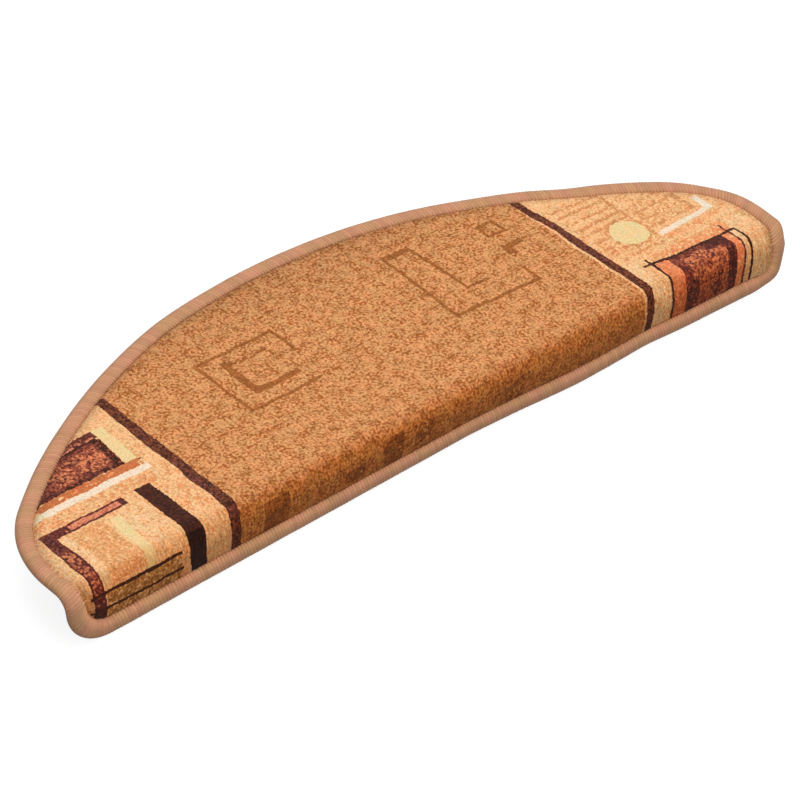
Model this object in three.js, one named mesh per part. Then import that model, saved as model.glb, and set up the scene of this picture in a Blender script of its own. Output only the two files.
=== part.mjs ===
// A half-moon stair tread mat: a printed pile carpet whose straight front edge is folded down
// over the stair's nosing, with an overlocked yarn edge all round and a grip backing underneath.
// Millimetres. X runs along the stair's edge, Y towards the riser behind, Z up. The origin is at
// mid-length, where the plane of the stair's top meets the plane of its front face.
import * as THREE from "three";

// Overall shape, measured on the pile's outer surface
const LENGTH = 650;
const TREAD_DEPTH = 200.8; // from the flap's outer face to the back of the arc
const NOSE_DROP = 45; // from the top of the pile to the flap's lower edge
const FOLD_RADIUS = 15; // outside radius of the fold over the nosing
const CORNER_RADIUS = 34; // the flap's two lower corners
const SIDE_HEIGHT = 65; // where the straight side ends, measured flat from the flap's lower edge
const SHOULDER_RADIUS = 85.6; // between the straight side and the long back arc

// Layers, from the stair upwards
const GRIP_THICKNESS = 1.2;
const LAYER_GAP = 0.3; // clearance between pieces that touch
const CARPET_THICKNESS = 5; // backing cloth and pile

// Overlocked edge, a C-shaped bead of yarn round a thinner rim of the carpet
const BINDING_WIDTH = 13;
const BINDING_HEIGHT = 6.2;
const YARN_THICKNESS = 1.6;
const YARN_DIP = 1.1; // how far the bead's inner edge sinks into the pile
const DIP_WIDTH = 4; // over how much of the bead's width it sinks

// Facets
const CORNER_STEPS = 8;
const SHOULDER_STEPS = 8;
const BACK_STEPS = 12;
const FOLD_STEPS = 6;
const BEAD_STEPS = 6;

// Places that follow from the sizes above
const THICKNESS = GRIP_THICKNESS + LAYER_GAP + CARPET_THICKNESS;
const CARPET_BASE = GRIP_THICKNESS + LAYER_GAP;
const INNER_FOLD_RADIUS = FOLD_RADIUS - THICKNESS;
const FLAP_HEIGHT = NOSE_DROP - FOLD_RADIUS;
const FOLD_ARC = (FOLD_RADIUS * Math.PI) / 2;
const FLAT_DEPTH = TREAD_DEPTH - FOLD_RADIUS + FOLD_ARC + FLAP_HEIGHT;
const RIM_INSET = BINDING_WIDTH + LAYER_GAP;
const HALF_LENGTH = LENGTH / 2;
const CORNER_U = HALF_LENGTH - CORNER_RADIUS;
const SHOULDER_U = HALF_LENGTH - SHOULDER_RADIUS;
// The back arc touches both shoulder arcs and the line at FLAT_DEPTH.
const SHOULDER_REACH = FLAT_DEPTH - SHOULDER_RADIUS;
const BACK_CENTRE_V =
  (SHOULDER_REACH ** 2 - SHOULDER_U ** 2 - SIDE_HEIGHT ** 2) / (2 * (SHOULDER_REACH - SIDE_HEIGHT));
const BACK_RADIUS = FLAT_DEPTH - BACK_CENTRE_V;
const JOIN_ANGLE = Math.atan2(SIDE_HEIGHT - BACK_CENTRE_V, SHOULDER_U);

// Print colours
const TAN = "#c98a4f";
const FLAP_BROWN = "#8a5226";
const FLAP_DARK = "#6b3a1a";
const TONE = "#ae7038";
const PANEL = "#edbe82";
const PLUM = "#4a2028";
const NEAR_BLACK = "#33191d";
const RUST = "#8c4a3c";
const MAROON = "#5a2426";
const ORANGE = "#d9834a";
const WHITE = "#e8ddd0";
const CREAM = "#ebd58f";
const LINE = "#2e1a12";
const YARN = "#b98b6b";
const LATEX = "#8f8a80";

// Print layout, laid flat: u along the length from the middle, v up from the flap's lower edge
const STRIPE_U = 187; // middle of each dark stripe between the centre field and an end panel
const STRIPE_WIDTH = 7.5;
const FLAP_SHADE_TOP = 46; // the centre field is darker below this line
const TONE_BAND = 5; // width of the faint frames in the centre field
const DISC = { u: 223.6, v: 104.8, radius: 13.5, steps: 8 };
const FAR = 2 * LENGTH; // runs a field on past the edge of the mat

// The mat is built flat, in u, v and the height w above the stair, then folded over the nosing.
function fold(u, v, w) {
  if (v <= FLAP_HEIGHT) return [u, -w, v + THICKNESS - NOSE_DROP];
  const straight = v - FLAP_HEIGHT - FOLD_ARC;
  if (straight >= 0) return [u, INNER_FOLD_RADIUS + straight, w];
  const angle = (v - FLAP_HEIGHT) / FOLD_RADIUS;
  const radius = INNER_FOLD_RADIUS + w;
  const y = INNER_FOLD_RADIUS - radius * Math.cos(angle);
  return [u, y, radius * Math.sin(angle) - INNER_FOLD_RADIUS];
}

// A closed surface collected triangle by triangle, with one colour for each.
function makeSurface() {
  const positions = [];
  const colours = [];
  const same = (p, q) => Math.hypot(p[0] - q[0], p[1] - q[1], p[2] - q[2]) < 1e-6;
  function triangle(p, q, r, colour) {
    if (same(p, q) || same(q, r) || same(r, p)) return;
    const tint = new THREE.Color(colour);
    for (const point of [p, q, r]) {
      positions.push(...fold(...point));
      colours.push(tint.r, tint.g, tint.b);
    }
  }
  function geometry() {
    const made = new THREE.BufferGeometry();
    made.setAttribute("position", new THREE.Float32BufferAttribute(positions, 3));
    made.setAttribute("color", new THREE.Float32BufferAttribute(colours, 3));
    made.computeVertexNormals();
    return made;
  }
  return { triangle, geometry };
}

// One wall between two loops of the same points, the lower one first.
function addWall(surface, lower, upper, colour) {
  lower.forEach((point, i) => {
    const next = (i + 1) % lower.length;
    surface.triangle(point, lower[next], upper[next], colour);
    surface.triangle(point, upper[next], upper[i], colour);
  });
}

// The outline's point and outward normal on an arc, where the loop RIM_INSET inside it is at v.
function arcEdge(centreU, centreV, radius, v) {
  const nv = THREE.MathUtils.clamp((v - centreV) / (radius - RIM_INSET), -1, 1);
  const nu = Math.sqrt(1 - nv * nv);
  return { u: centreU + radius * nu, v: centreV + radius * nv, nu, nv };
}

// The same for the whole right half of the outline, from the flap's lower edge to the back.
function edgeAt(v) {
  if (v < CORNER_RADIUS) return arcEdge(CORNER_U, CORNER_RADIUS, CORNER_RADIUS, v);
  if (v <= SIDE_HEIGHT) return { u: HALF_LENGTH, v, nu: 1, nv: 0 };
  const shoulderTop = SIDE_HEIGHT + (SHOULDER_RADIUS - RIM_INSET) * Math.sin(JOIN_ANGLE);
  if (v < shoulderTop) return arcEdge(SHOULDER_U, SIDE_HEIGHT, SHOULDER_RADIUS, v);
  return arcEdge(0, BACK_CENTRE_V, BACK_RADIUS, v);
}

// Rows of the flat mat that its outline and its fold need, as heights v.
function shapeRows() {
  const rows = [SIDE_HEIGHT];
  const arcRows = (centreV, radius, from, to, steps) => {
    for (let i = 0; i <= steps; i++) {
      const angle = THREE.MathUtils.lerp(from, to, i / steps);
      rows.push(centreV + (radius - RIM_INSET) * Math.sin(angle));
    }
  };
  arcRows(CORNER_RADIUS, CORNER_RADIUS, -Math.PI / 2, 0, CORNER_STEPS);
  arcRows(SIDE_HEIGHT, SHOULDER_RADIUS, 0, JOIN_ANGLE, SHOULDER_STEPS);
  arcRows(BACK_CENTRE_V, BACK_RADIUS, JOIN_ANGLE, Math.PI / 2, BACK_STEPS);
  for (let i = 0; i <= FOLD_STEPS; i++) rows.push(FLAP_HEIGHT + (FOLD_ARC * i) / FOLD_STEPS);
  return rows;
}

// Sorts rows and drops a shape row that lies closer than minGap to one that must stay.
function cleanRows(optional, fixed) {
  const minGap = 0.7;
  const low = RIM_INSET;
  const high = FLAT_DEPTH - RIM_INSET;
  const kept = [low, high];
  const clear = (v) => v > low && v < high && kept.every((other) => Math.abs(other - v) > minGap);
  for (const v of fixed) if (v > low && v < high && !kept.includes(v)) kept.push(v);
  for (const v of optional) if (clear(v)) kept.push(v);
  return kept.sort((a, b) => a - b);
}

// A field of print between two rows, with its left and right edge given for each v.
const field = (colour, low, high, left, right) => ({ colour, low, high, left, right });
const rect = (colour, left, right, low, high) =>
  field(colour, low, high, () => left, () => right);
const frame = (colour, left, right, low, high, width) => [
  rect(colour, left, right, low, low + width),
  rect(colour, left, right, high - width, high),
  rect(colour, left, left + width, low + width, high - width),
  rect(colour, right - width, right, low + width, high - width),
];

// A disc of print, as strips between rows with curved ends.
function discFields({ u, v, radius, steps }) {
  const half = (row) => Math.sqrt(Math.max(0, radius ** 2 - (row - v) ** 2));
  const row = (i) => v - radius * Math.cos((Math.PI * i) / steps);
  return Array.from({ length: steps }, (_, i) =>
    field(CREAM, row(i), row(i + 1), (at) => u - half(at), (at) => u + half(at)),
  );
}

// The tan middle of the mat: darker blocks on the flap, and faint frames and bars on the tread.
function centreFields() {
  const edge = STRIPE_U - STRIPE_WIDTH / 2;
  return [
    rect(FLAP_BROWN, -edge, edge, 0, FLAP_SHADE_TOP),
    rect(FLAP_DARK, -163, -145, 16, 39),
    rect(FLAP_DARK, -95, -79, 20, 31),
    rect(FLAP_DARK, -62, -46, 27, 39),
    rect(FLAP_DARK, -35, -18, 16, 39),
    rect(FLAP_DARK, 46, 62, 16, 36),
    ...frame(TONE, -99, -60, 124, 163, TONE_BAND),
    rect(TONE, 62, 137, 104, 116),
    rect(TONE, 62, 86, 116, 182),
    ...frame(TONE, 140.5, 153.5, 160, 173, TONE_BAND / 2),
    rect(TONE, 141, 155, 134, 146),
  ];
}

// The left end: a maroon block by the back, bars below it, and an angled bar with two lines.
function leftPanelFields() {
  return [
    rect(MAROON, -FAR, -212, 124, 156),
    rect(RUST, -FAR, -211, 156, 160.5),
    rect(CREAM, -211, -204, 122.5, 161),
    rect(ORANGE, -287, -205, 118, 122.5),
    rect(WHITE, -294, -203, 110.5, 114.5),
    rect(NEAR_BLACK, -226.6, -214.8, 0, 97.5),
    rect(RUST, -302, -236.5, 90, 97.5),
    rect(RUST, -302, -292, 0, 90),
    rect(CREAM, -254, -248, 42, 84),
    rect(LINE, -306, -233, 36.7, 38.3),
    rect(LINE, -306, -233, 24, 25.5),
  ];
}

// The right end: a disc and a white angle, and a maroon block in bands and lines on the fold.
function rightPanelFields() {
  return [
    ...discFields(DISC),
    rect(WHITE, 239, 293, 88, 92.5),
    rect(WHITE, 288.5, 293, 92.5, 105),
    rect(LINE, 206, 286, 61, 62.5),
    rect(LINE, 206, 208, 0, 61),
    rect(ORANGE, 211, 222, 0, 61),
    rect(MAROON, 222, 272, 0, 61),
    rect(ORANGE, 272, 278, 0, 61),
    rect(CREAM, 278, 284, 0, 61),
    rect(LINE, 284, 286, 0, 61),
  ];
}

// All the print, the later fields over the earlier ones.
function printFields() {
  const half = STRIPE_WIDTH / 2;
  return [
    rect(PANEL, -FAR, -STRIPE_U, 0, FLAT_DEPTH),
    rect(PANEL, STRIPE_U, FAR, 0, FLAT_DEPTH),
    rect(PLUM, -STRIPE_U - half, -STRIPE_U + half, 0, FLAT_DEPTH),
    rect(PLUM, STRIPE_U - half, STRIPE_U + half, 0, FLAT_DEPTH),
    ...centreFields(),
    ...leftPanelFields(),
    ...rightPanelFields(),
  ];
}

// Joins two rows of points, both sorted by u, with triangles that face up.
function zip(lower, upper, emit) {
  let i = 0;
  let j = 0;
  while (i < lower.length - 1 || j < upper.length - 1) {
    const lowerNext = lower[i + 1]?.[0] ?? Infinity;
    const upperNext = upper[j + 1]?.[0] ?? Infinity;
    if (lowerNext <= upperNext) {
      emit(lower[i], lower[i + 1], upper[j]);
      i++;
    } else {
      emit(lower[i], upper[j + 1], upper[j]);
      j++;
    }
  }
}

// Cuts the mat's face into strips between rows and each strip into cells of one colour.
function cutFace(rows, fields, ground) {
  const snap = 0.6; // an edge of print this close to the outline ends on it
  const halfWidth = rows.map((v) => {
    const edge = edgeAt(v);
    return edge.u - RIM_INSET * edge.nu;
  });
  const onRow = (u, row) => {
    const half = halfWidth[row];
    return Math.abs(u) > half - snap ? Math.sign(u) * half : u;
  };
  const strips = [];
  const points = rows.map((_, row) => new Set([-halfWidth[row], halfWidth[row]]));
  for (let row = 0; row < rows.length - 1; row++) {
    const inside = fields.filter((f) => f.low <= rows[row] && f.high >= rows[row + 1]);
    const tracks = [[-halfWidth[row], -halfWidth[row + 1]], [halfWidth[row], halfWidth[row + 1]]];
    for (const side of inside.flatMap((f) => [f.left, f.right]))
      tracks.push([onRow(side(rows[row]), row), onRow(side(rows[row + 1]), row + 1)]);
    tracks.sort((a, b) => a[0] + a[1] - b[0] - b[1]);
    // Edges of print that would cross between the two rows meet instead.
    let reached = tracks[0];
    for (const track of tracks) {
      track[0] = Math.max(track[0], reached[0]);
      track[1] = Math.max(track[1], reached[1]);
      points[row].add(track[0]);
      points[row + 1].add(track[1]);
      reached = track;
    }
    strips.push({ inside, tracks });
  }
  const sorted = points.map((set) => [...set].sort((a, b) => a - b));
  const cells = strips.flatMap(({ inside, tracks }, row) =>
    tracks.slice(1).map((right, i) => {
      const left = tracks[i];
      const between = (k) => sorted[row + k].filter((u) => u >= left[k] && u <= right[k]);
      const middle = (left[0] + left[1] + right[0] + right[1]) / 4;
      const v = (rows[row] + rows[row + 1]) / 2;
      const top = inside.findLast((f) => f.left(v) < middle && f.right(v) > middle);
      return {
        lower: between(0).map((u) => [u, rows[row]]),
        upper: between(1).map((u) => [u, rows[row + 1]]),
        colour: top ? top.colour : ground,
      };
    }),
  );
  return { cells, rows, points: sorted };
}

// The outline's points and normals all the way round, counter-clockwise from the lower left.
function perimeter({ rows, points }) {
  const right = rows.map(edgeAt);
  const bottom = points[0].slice(1, -1).map((u) => ({ u, v: 0, nu: 0, nv: -1 }));
  const left = right.slice(0, -1).map((edge) => ({ ...edge, u: -edge.u, nu: -edge.nu }));
  return [left[0], ...bottom, ...right, ...left.slice(1).reverse()];
}

const loopAt = (edges, inset, w) =>
  edges.map(({ u, v, nu, nv }) => [u - inset * nu, v - inset * nv, w]);

// A face at height w on the loop RIM_INSET inside the outline; a lower face is turned over.
function addFace(surface, face, w, facesUp, colourOf) {
  for (const cell of face.cells)
    zip(cell.lower, cell.upper, (a, b, c) => {
      const [p, q, r] = [a, b, c].map(([u, v]) => [u, v, w]);
      surface.triangle(p, facesUp ? q : r, facesUp ? r : q, colourOf(cell));
    });
}

// The points of the outer face are shared with the rim, so the underside takes the same ends.
function plainFace(face) {
  const ends = face.points.map((row, i) => (i === 0 ? row : [row[0], row[row.length - 1]]));
  const cells = face.rows.slice(1).map((v, i) => ({
    lower: ends[i].map((u) => [u, face.rows[i]]),
    upper: ends[i + 1].map((u) => [u, v]),
  }));
  return { ...face, cells };
}

// Printed carpet: the full pile inside the binding, and a thin rim that the yarn wraps.
function makeCarpet() {
  const fields = printFields();
  const printRows = fields.flatMap((f) => [f.low, f.high]);
  const face = cutFace(cleanRows(shapeRows(), printRows), fields, TAN);
  const edges = perimeter(face);
  const rimEnd = YARN_THICKNESS + LAYER_GAP;
  const rimTop = BINDING_HEIGHT - YARN_THICKNESS - LAYER_GAP;
  const section = [
    [RIM_INSET, CARPET_BASE],
    [RIM_INSET, rimEnd],
    [rimEnd, rimEnd],
    [rimEnd, rimTop],
    [RIM_INSET, rimTop],
    [RIM_INSET, THICKNESS],
  ];
  const surface = makeSurface();
  section.slice(1).forEach(([inset, w], i) => {
    const [innerInset, innerW] = section[i];
    addWall(surface, loopAt(edges, innerInset, innerW), loopAt(edges, inset, w), TAN);
  });
  addFace(surface, face, THICKNESS, true, (cell) => cell.colour);
  addFace(surface, plainFace(face), CARPET_BASE, false, () => TAN);
  return surface.geometry();
}

// Overlocked yarn: a C-shaped section swept round the whole edge and over the fold.
function makeBinding() {
  const face = cutFace(cleanRows(shapeRows(), []), [], YARN);
  const edges = perimeter(face);
  const bead = BINDING_HEIGHT / 2;
  const slotTop = BINDING_HEIGHT - YARN_THICKNESS;
  const outside = Array.from({ length: BEAD_STEPS + 1 }, (_, i) => {
    const angle = THREE.MathUtils.lerp(-Math.PI / 2, Math.PI / 2, i / BEAD_STEPS);
    return [bead - bead * Math.cos(angle), bead + bead * Math.sin(angle)];
  });
  const section = [
    [BINDING_WIDTH, 0],
    ...outside,
    [BINDING_WIDTH - DIP_WIDTH, BINDING_HEIGHT],
    [BINDING_WIDTH, BINDING_HEIGHT - YARN_DIP],
    [BINDING_WIDTH, slotTop],
    [YARN_THICKNESS, slotTop],
    [YARN_THICKNESS, YARN_THICKNESS],
    [BINDING_WIDTH, YARN_THICKNESS],
  ];
  const surface = makeSurface();
  section.forEach(([inset, w], i) => {
    const [nextInset, nextW] = section[(i + 1) % section.length];
    addWall(surface, loopAt(edges, inset, w), loopAt(edges, nextInset, nextW), YARN);
  });
  return surface.geometry();
}

// Grip backing: a thin rubbery sheet under the carpet, inside the binding's lower leg.
function makeGrip() {
  const face = cutFace(cleanRows(shapeRows(), []), [], LATEX);
  const edges = perimeter(face);
  const surface = makeSurface();
  const [base, top] = [0, GRIP_THICKNESS].map((w) => loopAt(edges, RIM_INSET, w));
  addWall(surface, base, top, LATEX);
  addFace(surface, face, GRIP_THICKNESS, true, () => LATEX);
  addFace(surface, face, 0, false, () => LATEX);
  return surface.geometry();
}

function addPiece(group, name, geometry, roughness) {
  const finish = { color: "#ffffff", vertexColors: true, roughness, metalness: 0 };
  const mesh = new THREE.Mesh(geometry, new THREE.MeshStandardMaterial(finish));
  mesh.name = name;
  group.add(mesh);
}

const group = new THREE.Group();
addPiece(group, "carpet", makeCarpet(), 0.95);
addPiece(group, "edge_binding", makeBinding(), 0.8);
addPiece(group, "grip_backing", makeGrip(), 0.7);

export default group;
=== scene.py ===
"""A half-moon stair tread mat of printed cut pile, with an overlocked edge and a latex grip backing.

The mat is laid out flat first, in metres: u along its length from the middle, v up from the flap's
lower edge, w above the stair. Then it is folded over the nosing, and its flap hangs a little inwards.
"""
import math
from collections import namedtuple

import bmesh
import bpy
import numpy as np
from bpy.props import FloatProperty, FloatVectorProperty, PointerProperty
from mathutils import Matrix, Vector


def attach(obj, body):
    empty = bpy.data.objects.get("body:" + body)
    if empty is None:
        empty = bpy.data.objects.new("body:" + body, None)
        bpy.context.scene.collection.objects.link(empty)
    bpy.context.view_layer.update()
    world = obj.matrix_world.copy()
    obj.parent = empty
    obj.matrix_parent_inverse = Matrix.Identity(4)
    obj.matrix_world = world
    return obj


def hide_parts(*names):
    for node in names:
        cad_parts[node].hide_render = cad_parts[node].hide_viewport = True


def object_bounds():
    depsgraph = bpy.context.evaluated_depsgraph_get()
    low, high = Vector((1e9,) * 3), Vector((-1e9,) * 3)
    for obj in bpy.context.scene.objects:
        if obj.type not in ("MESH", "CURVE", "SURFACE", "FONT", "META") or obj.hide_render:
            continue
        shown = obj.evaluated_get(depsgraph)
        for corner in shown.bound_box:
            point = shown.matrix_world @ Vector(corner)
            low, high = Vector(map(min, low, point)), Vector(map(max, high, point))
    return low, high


bl_info = {
    "name": "Stair tread mat",
    "version": (1, 0, 0),
    "blender": (4, 5, 0),
    "location": "View3D > Sidebar > Stair mat",
    "description": "Builds a pile carpet mat for a stair tread, with its stitched edge and its backing",
    "category": "Add Mesh",
}

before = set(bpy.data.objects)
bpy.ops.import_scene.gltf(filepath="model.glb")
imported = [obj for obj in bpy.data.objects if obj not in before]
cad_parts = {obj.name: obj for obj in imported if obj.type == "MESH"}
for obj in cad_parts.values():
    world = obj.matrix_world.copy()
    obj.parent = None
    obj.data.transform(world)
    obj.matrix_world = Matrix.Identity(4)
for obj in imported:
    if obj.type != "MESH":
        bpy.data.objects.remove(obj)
CAD_LOW, CAD_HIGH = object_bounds()

MM = 0.001
PER_MM = 1000.0


def linear(hex_colour):
    """An sRGB hex colour as linear red, green and blue."""
    channels = [int(hex_colour[i : i + 2], 16) / 255 for i in (1, 3, 5)]
    return tuple(c / 12.92 if c <= 0.04045 else ((c + 0.055) / 1.055) ** 2.4 for c in channels)


def number_prop(name, description, default, **kind):
    return FloatProperty(name=name, description=description, default=default, **kind)


def length_prop(name, description, default):
    return number_prop(name, description, default, min=0.0, unit="LENGTH")


def angle_prop(name, description, degrees):
    return number_prop(name, description, math.radians(degrees), subtype="ANGLE")


def colour_prop(name, description, hex_colour):
    colour = linear(hex_colour)
    return FloatVectorProperty(
        name=name, description=description, default=colour, size=3, min=0.0, max=1.0, subtype="COLOR"
    )


class MatSizes(bpy.types.PropertyGroup):
    """The mat's outline and its fold, measured on the pile's outer surface."""

    length: length_prop("Length", "Along the stair's edge", CAD_HIGH.x - CAD_LOW.x)
    depth: length_prop("Depth", "From the flap's outer face to the back of the arc", CAD_HIGH.y - CAD_LOW.y)
    nose_drop: length_prop("Nose drop", "From the top to the flap's lower edge", CAD_HIGH.z - CAD_LOW.z)
    thickness: length_prop("Thickness", "Backing, carpet and pile together", CAD_HIGH.z)
    fold_radius: length_prop("Fold radius", "Outside radius of the fold over the nosing", 15 * MM)
    corner_radius: length_prop("Corner radius", "The flap's two lower corners", 34 * MM)
    side_height: length_prop("Side height", "Where the straight side ends, measured flat", 65 * MM)
    shoulder_radius: length_prop("Shoulder radius", "Between the straight side and the back arc", 85.6 * MM)
    hang: length_prop("Hang", "How far the flap's lower edge swings inwards at the middle", 6.4 * MM)
    skew: length_prop("Skew", "How far the flap's right end sits to the left", 4.1 * MM)
    blunt: length_prop("Blunt end", "How far the right end is drawn in", 1.8 * MM)


class PileSizes(bpy.types.PropertyGroup):
    """The pile's tufts and how its surface rises and falls."""

    grid: length_prop("Mesh spacing", "Spacing of the mesh that carries the pile's relief", 1.2 * MM)
    base: length_prop("Base", "Height of the carpet's underside above the stair", 2.0 * MM)
    rim_inset: length_prop("Rim inset", "Where the carpet ends inside the stitching", 4 * MM)
    rim_height: length_prop("Rim height", "Height of the flattened pile under the stitching", 3.5 * MM)
    shoulder_start: length_prop("Pile starts", "Where the pile starts to rise, in from the edge", 12.6 * MM)
    shoulder_end: length_prop("Pile full", "Where the pile stands at its full height", 16.5 * MM)
    relief: length_prop("Relief", "How much single tufts stand up or lie low", 0.28 * MM)
    swell: length_prop("Swell", "Slow rise and fall of the pile over many tufts", 0.15 * MM)
    tuft: length_prop("Tuft spacing", "Distance between tufts", 1.9 * MM)


class BindingSizes(bpy.types.PropertyGroup):
    """The overlock stitching round the whole edge."""

    width: length_prop("Width", "From the mat's edge to the stitches' inner ends", 13 * MM)
    height: length_prop("Height", "Over both legs of the stitching", 6.8 * MM)
    yarn: length_prop("Yarn thickness", "Of the wrapped yarn on either side", 1.9 * MM)
    lip: length_prop("Lip", "Height of the stitches' inner ends above the stair, underneath", 3.7 * MM)
    pitch: length_prop("Stitch pitch", "Distance between stitches", 2.53 * MM)
    rib: length_prop("Rib height", "How far a stitch stands above the groove beside it", 0.2 * MM)
    tooth: length_prop("Tooth", "How far a stitch's inner end stands out", 1.4 * MM)
    waviness: length_prop("Waviness", "How far the edge wanders inwards along its length", 0.3 * MM)
    slant: number_prop("Slant", "How far a stitch leans along the edge, for its width", -0.3)


class BackingSizes(bpy.types.PropertyGroup):
    """The latex sheet that grips the stair."""

    thickness: length_prop("Thickness", "Of the latex sheet", 1.2 * MM)
    inset: length_prop("Inset", "From the mat's edge to the sheet's edge", 13.3 * MM)
    grid: length_prop("Mesh spacing", "Spacing of the sheet's mesh", 3 * MM)


class MatColours(bpy.types.PropertyGroup):
    """Print, yarn and backing colours that a user would change, and the painted shade on the flap."""

    ground: colour_prop("Ground", "Middle of the mat", "#DE9D67")
    ground_fleck: colour_prop("Ground fleck", "Darker tufts in the middle", "#A25B28")
    panel: colour_prop("Panel", "The two ends", "#F4C08D")
    panel_fleck: colour_prop("Panel fleck", "Darker tufts in the two ends", "#DD965D")
    stripe: colour_prop("Stripe", "Dark stripes and bars", "#42201A")
    maroon: colour_prop("Maroon", "Blocks at both ends", "#5C2A28")
    orange: colour_prop("Orange", "Bands beside the blocks", "#CA7848")
    cream: colour_prop("Cream", "Disc and pale bars", "#E9CD97")
    yarn: colour_prop("Yarn", "Stitching round the edge", "#C48D68")
    # Painted shade on the flap: the pile there is multiplied by this colour, partly for the pile lying
    # downwards
    nap_and_painted_shade: colour_prop("Nap", "How the pile deepens on the flap, as a share of its colour", "#E3C8AF")
    latex: colour_prop("Latex", "Grip backing", "#8F8A80")


class StageSettings(bpy.types.PropertyGroup):
    """Floor, lamps and camera."""

    floor_size: length_prop("Floor size", "Side of the square floor", 12.0)
    key_power: number_prop("Key power", "Large soft lamp overhead", 25.0, unit="POWER")
    front_power: number_prop("Front power", "Large soft lamp in front", 18.5, unit="POWER")
    lamp_size: length_prop("Lamp size", "Side of each square lamp", 1.8)
    fill_level: number_prop("Fill level", "Light from all round", 0.46, min=0.0)
    floor_lift: number_prop("Floor lift", "Brings the floor up to white", 0.86, min=0.0)
    lens: number_prop("Lens", "Focal length in millimetres on a 36 mm sensor", 166.58)
    azimuth: angle_prop("Azimuth", "0 looks along +Y", -44.51)
    elevation: angle_prop("Elevation", "Above the horizon", 37.85)
    roll: angle_prop("Roll", "Tilt of the camera", 3.91)
    distance: length_prop("Distance", "From the camera to the point it looks at", 2.445)


def sizes():
    return bpy.context.scene.mat_sizes


class Outline:
    """The mat's flat outline: a straight lower edge, corners, sides, shoulders and a back arc."""

    def __init__(self, mat):
        self.fold_arc = mat.fold_radius * math.pi / 2
        self.flap = mat.nose_drop - mat.fold_radius
        self.flat_depth = mat.depth - mat.fold_radius + self.fold_arc + self.flap
        self.half = mat.length / 2
        self.corner_radius = mat.corner_radius
        self.corner_u = self.half - mat.corner_radius
        self.side = mat.side_height
        self.shoulder_radius = mat.shoulder_radius
        self.shoulder_u = self.half - mat.shoulder_radius
        reach = self.flat_depth - mat.shoulder_radius
        rise = reach - mat.side_height
        self.back_v = (reach**2 - self.shoulder_u**2 - mat.side_height**2) / (2 * rise)
        self.back_radius = self.flat_depth - self.back_v
        self.join = math.atan2(mat.side_height - self.back_v, self.shoulder_u)

    def inset(self, u, v):
        """How far inside the outline flat points lie; negative outside it."""
        across = np.abs(u)
        inset = np.minimum(v, self.half - across)
        corner = (across > self.corner_u) & (v < self.corner_radius)
        to_corner = self.corner_radius - np.hypot(across - self.corner_u, self.corner_radius - v)
        inset = np.where(corner, to_corner, inset)
        above = v > self.side
        turn = np.arctan2(v - self.side, across - self.shoulder_u)
        to_shoulder = self.shoulder_radius - np.hypot(across - self.shoulder_u, v - self.side)
        to_back = self.back_radius - np.hypot(u, v - self.back_v)
        inset = np.where(above & (turn < self.join), np.minimum(v, to_shoulder), inset)
        return np.where(above & (turn >= self.join), np.minimum(v, to_back), inset)

    def outward(self, u, v):
        """The direction away from the mat at flat points near its edge."""
        step = 1e-5
        du = self.inset(u - step, v) - self.inset(u + step, v)
        dv = self.inset(u, v - step) - self.inset(u, v + step)
        size = np.maximum(np.hypot(du, dv), 1e-12)
        return du / size, dv / size

    def stretches(self):
        """The outline's right half as lines and arcs, from the middle of the lower edge to the back."""
        quarter = math.pi / 2
        return [
            ("line", (0.0, 0.0), (self.corner_u, 0.0)),
            ("arc", (self.corner_u, self.corner_radius), self.corner_radius, -quarter, 0.0),
            ("line", (self.half, self.corner_radius), (self.half, self.side)),
            ("arc", (self.shoulder_u, self.side), self.shoulder_radius, 0.0, self.join),
            ("arc", (0.0, self.back_v), self.back_radius, self.join, quarter),
        ]

    def lengths(self):
        """The length of each stretch of the right half."""
        return [
            math.dist(*shape) if kind == "line" else shape[1] * (shape[3] - shape[2])
            for kind, *shape in self.stretches()
        ]

    def perimeter(self):
        return 2 * sum(self.lengths())

    def along(self, distance):
        """Points and outward normals on the whole outline, for distances along it from mid-front."""
        lengths = self.lengths()
        half = sum(lengths)
        folded = np.mod(distance, 2 * half)
        mirrored = folded > half
        rest = np.where(mirrored, 2 * half - folded, folded)
        point = np.zeros((len(rest), 2))
        normal = np.zeros((len(rest), 2))
        start = 0.0
        for (kind, *shape), size in zip(self.stretches(), lengths):
            here = (rest >= start) & (rest <= start + size)
            share = (rest[here] - start) / size
            if kind == "line":
                first, last = np.array(shape[0]), np.array(shape[1])
                point[here] = first + share[:, None] * (last - first)
                direction = (last - first) / size
                normal[here] = (direction[1], -direction[0])
            else:
                centre, radius, low, high = shape
                angle = low + share * (high - low)
                normal[here] = np.stack([np.cos(angle), np.sin(angle)], 1)
                point[here] = np.array(centre) + radius * normal[here]
            start += size
        point[mirrored, 0] *= -1
        normal[mirrored, 0] *= -1
        return point, normal


# The mat's irregularities, in millimetres. A stray is a soft bump: its size, place and width.
# The flap's lower edge swings inwards most at HANG_MIDDLE, and not at all within HANG_END of its ends
HANG_MIDDLE, HANG_END = 20, 35
HANG_STRAYS = [(-2.3, 115, 38), (1.2, 190, 20)]
# How far the back and the right end stray outwards from the plain outline
BACK_STRAYS = [(1.5, -105, 45), (-0.7, -220, 40), (-2.4, 175, 45), (-3.6, 226, 22), (2.2, 290, 22)]
END_STRAYS = [(2.4, 92, 18), (-1.4, 45, 18)]
# The flap's right corner is cut squarer than the left one
CORNER_STRAY, CORNER_PLACE, CORNER_WIDTH = 6.2, (315, 10), 11
# Where each one eases in or out: how far inside the edge, up the flat mat, or in from the right end
STRAY_EASE = (4 * MM, 45 * MM)
BACK_EASE = (50 * MM, 120 * MM)
SKEW_EASE = (34 * MM, 52 * MM)
BLUNT_REACH = 40 * MM
END_REACH = 90 * MM
# The stitching reaches in less on the tread than on the flap, as shares of its width
FLAP_REACH, TREAD_REACH, REACH_EASE = 1.06, 0.88, (35 * MM, 70 * MM)


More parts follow.
